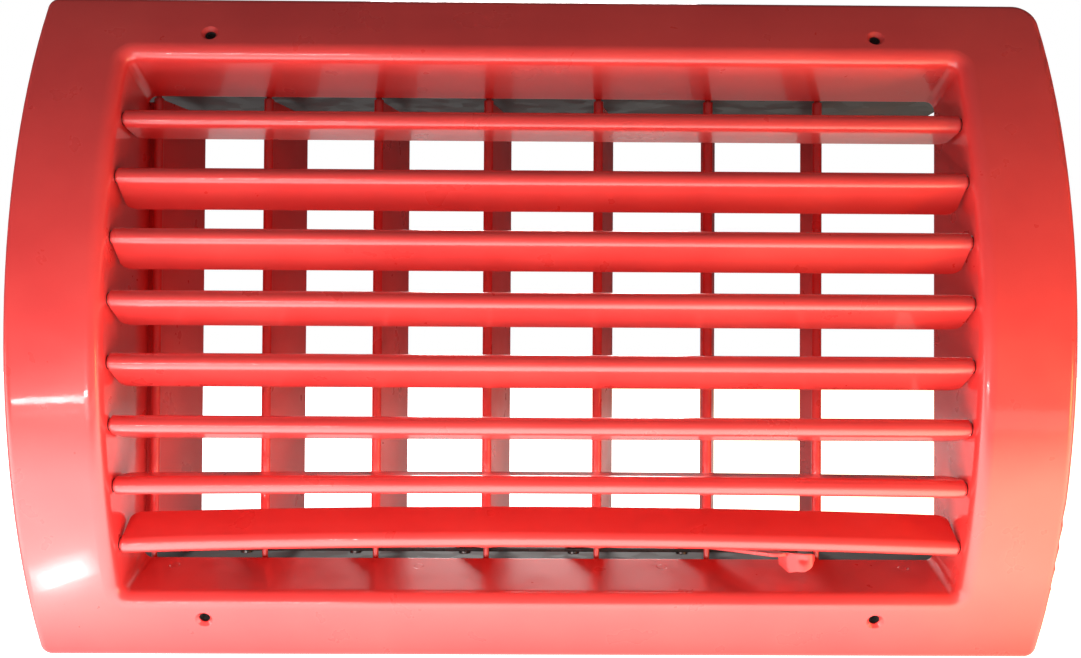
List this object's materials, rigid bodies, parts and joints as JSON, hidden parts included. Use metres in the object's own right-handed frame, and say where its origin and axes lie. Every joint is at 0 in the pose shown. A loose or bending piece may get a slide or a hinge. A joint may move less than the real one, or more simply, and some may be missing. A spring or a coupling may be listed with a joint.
{
  "type": "curved duct grille",
  "caption": "Curved supply-air grille for a round duct: pressed frame, individually tilting front blades, and a ganged shutter damper worked by a small lever.",
  "frame": {"origin": "crest of the duct's outer surface at the middle of the grille: the duct_seat mount", "axes": "+X along the duct, to the lever's side; +Y into the duct, away from the room; +Z across the duct, up when the duct runs level"},
  "size_m": [0.338, 0.09, 0.223],
  "materials": {
    "paint": "gloss",
    "paint_on_aluminium": "gloss",
    "zinc": "satin",
    "steel": "satin",
    "nylon": "matte",
    "foam": "matte"
  },
  "bodies": {
    "root": {"front_frame": "paint", "flange_gasket": "foam", "blade_bushes_left": "nylon", "blade_bushes_right": "nylon", "damper_top_plate": "zinc", "damper_bottom_plate": "zinc", "plate_rivets": "steel", "damper_stop": "paint", "damper_bushes_top": "nylon", "damper_bushes_bottom": "nylon"},
    "blade_1": {"front_blade_1": "paint_on_aluminium", "blade_pins_1": "steel"},
    "blade_2": {"front_blade_2": "paint_on_aluminium", "blade_pins_2": "steel"},
    "blade_3": {"front_blade_3": "paint_on_aluminium", "blade_pins_3": "steel"},
    "blade_4": {"front_blade_4": "paint_on_aluminium", "blade_pins_4": "steel"},
    "blade_5": {"front_blade_5": "paint_on_aluminium", "blade_pins_5": "steel"},
    "blade_6": {"front_blade_6": "paint_on_aluminium", "blade_pins_6": "steel"},
    "blade_7": {"front_blade_7": "paint_on_aluminium", "blade_pins_7": "steel"},
    "blade_8": {"front_blade_8": "paint_on_aluminium", "blade_pins_8": "steel"},
    "shutter_6": {"damper_blade_6": "paint", "damper_shaft_6": "steel", "damper_lever": "paint", "crank_pin_6": "steel"},
    "shutter_1": {"damper_blade_1": "paint", "damper_shaft_1": "steel", "damper_crank_1": "paint", "crank_pin_1": "steel"},
    "shutter_2": {"damper_blade_2": "paint", "damper_shaft_2": "steel", "damper_crank_2": "paint", "crank_pin_2": "steel"},
    "shutter_3": {"damper_blade_3": "paint", "damper_shaft_3": "steel", "damper_crank_3": "paint", "crank_pin_3": "steel"},
    "shutter_4": {"damper_blade_4": "paint", "damper_shaft_4": "steel", "damper_crank_4": "paint", "crank_pin_4": "steel"},
    "shutter_5": {"damper_blade_5": "paint", "damper_shaft_5": "steel", "damper_crank_5": "paint", "crank_pin_5": "steel"},
    "shutter_7": {"damper_blade_7": "paint", "damper_shaft_7": "steel", "damper_crank_7": "paint", "crank_pin_7": "steel"},
    "tie_link": {"tie_bar": "zinc"}
  },
  "joints": [
    {"name": "blade_tilt_1", "type": "hinge", "parent": "root", "child": "blade_1", "pos_m": [0, 0.01391, 0.0678], "axis": [1, 0, 0], "range_deg": [-37, 48]},
    {"name": "blade_tilt_2", "type": "hinge", "parent": "root", "child": "blade_2", "pos_m": [0, 0.00783, 0.0478], "axis": [1, 0, 0], "range_deg": [-7, 78]},
    {"name": "blade_tilt_3", "type": "hinge", "parent": "root", "child": "blade_3", "pos_m": [0, 0.00395, 0.0278], "axis": [1, 0, 0], "range_deg": [-6, 79]},
    {"name": "blade_tilt_4", "type": "hinge", "parent": "root", "child": "blade_4", "pos_m": [0, 0.00215, 0.0078], "axis": [1, 0, 0], "range_deg": [-17.5, 67.5]},
    {"name": "blade_tilt_5", "type": "hinge", "parent": "root", "child": "blade_5", "pos_m": [0, 0.00237, -0.0122], "axis": [1, 0, 0], "range_deg": [-17.5, 67.5]},
    {"name": "blade_tilt_6", "type": "hinge", "parent": "root", "child": "blade_6", "pos_m": [0, 0.00462, -0.0322], "axis": [1, 0, 0], "range_deg": [-33, 52]},
    {"name": "blade_tilt_7", "type": "hinge", "parent": "root", "child": "blade_7", "pos_m": [0, 0.00897, -0.0522], "axis": [1, 0, 0], "range_deg": [-65.5, 19.5]},
    {"name": "blade_tilt_8", "type": "hinge", "parent": "root", "child": "blade_8", "pos_m": [0, 0.01556, -0.0722], "axis": [1, 0, 0], "range_deg": [-45, 10]},
    {"name": "damper_lever_swing", "type": "hinge", "parent": "root", "child": "shutter_6", "pos_m": [0.05885, 0.0418, 0], "axis": [0, 0, -1], "range_deg": [-10.7, 71.3]},
    {"name": "shutter_swing_1", "type": "hinge", "parent": "root", "child": "shutter_1", "pos_m": [-0.1359, 0.0418, 0], "axis": [0, 0, -1], "range_deg": [-10.7, 71.3]},
    {"name": "shutter_swing_2", "type": "hinge", "parent": "root", "child": "shutter_2", "pos_m": [-0.09695, 0.0418, 0], "axis": [0, 0, -1], "range_deg": [-10.7, 71.3]},
    {"name": "shutter_swing_3", "type": "hinge", "parent": "root", "child": "shutter_3", "pos_m": [-0.058, 0.0418, 0], "axis": [0, 0, -1], "range_deg": [-10.7, 71.3]},
    {"name": "shutter_swing_4", "type": "hinge", "parent": "root", "child": "shutter_4", "pos_m": [-0.01905, 0.0418, 0], "axis": [0, 0, -1], "range_deg": [-10.7, 71.3]},
    {"name": "shutter_swing_5", "type": "hinge", "parent": "root", "child": "shutter_5", "pos_m": [0.0199, 0.0418, 0], "axis": [0, 0, -1], "range_deg": [-10.7, 71.3]},
    {"name": "shutter_swing_7", "type": "hinge", "parent": "root", "child": "shutter_7", "pos_m": [0.0978, 0.0418, 0], "axis": [0, 0, -1], "range_deg": [-10.7, 71.3]},
    {"name": "tie_bar_pivot", "type": "hinge", "parent": "shutter_6", "child": "tie_link", "pos_m": [0.05097, 0.04796, -0.079], "axis": [0, 0, -1], "range_deg": [-71.3, 10.7]}
  ],
  "couplings": [
    {"joint": "shutter_swing_1", "follows": "damper_lever_swing", "ratio": 1},
    {"joint": "shutter_swing_2", "follows": "damper_lever_swing", "ratio": 1},
    {"joint": "shutter_swing_3", "follows": "damper_lever_swing", "ratio": 1},
    {"joint": "shutter_swing_4", "follows": "damper_lever_swing", "ratio": 1},
    {"joint": "shutter_swing_5", "follows": "damper_lever_swing", "ratio": 1},
    {"joint": "shutter_swing_7", "follows": "damper_lever_swing", "ratio": 1},
    {"joint": "tie_bar_pivot", "follows": "damper_lever_swing", "ratio": -1}
  ]
}
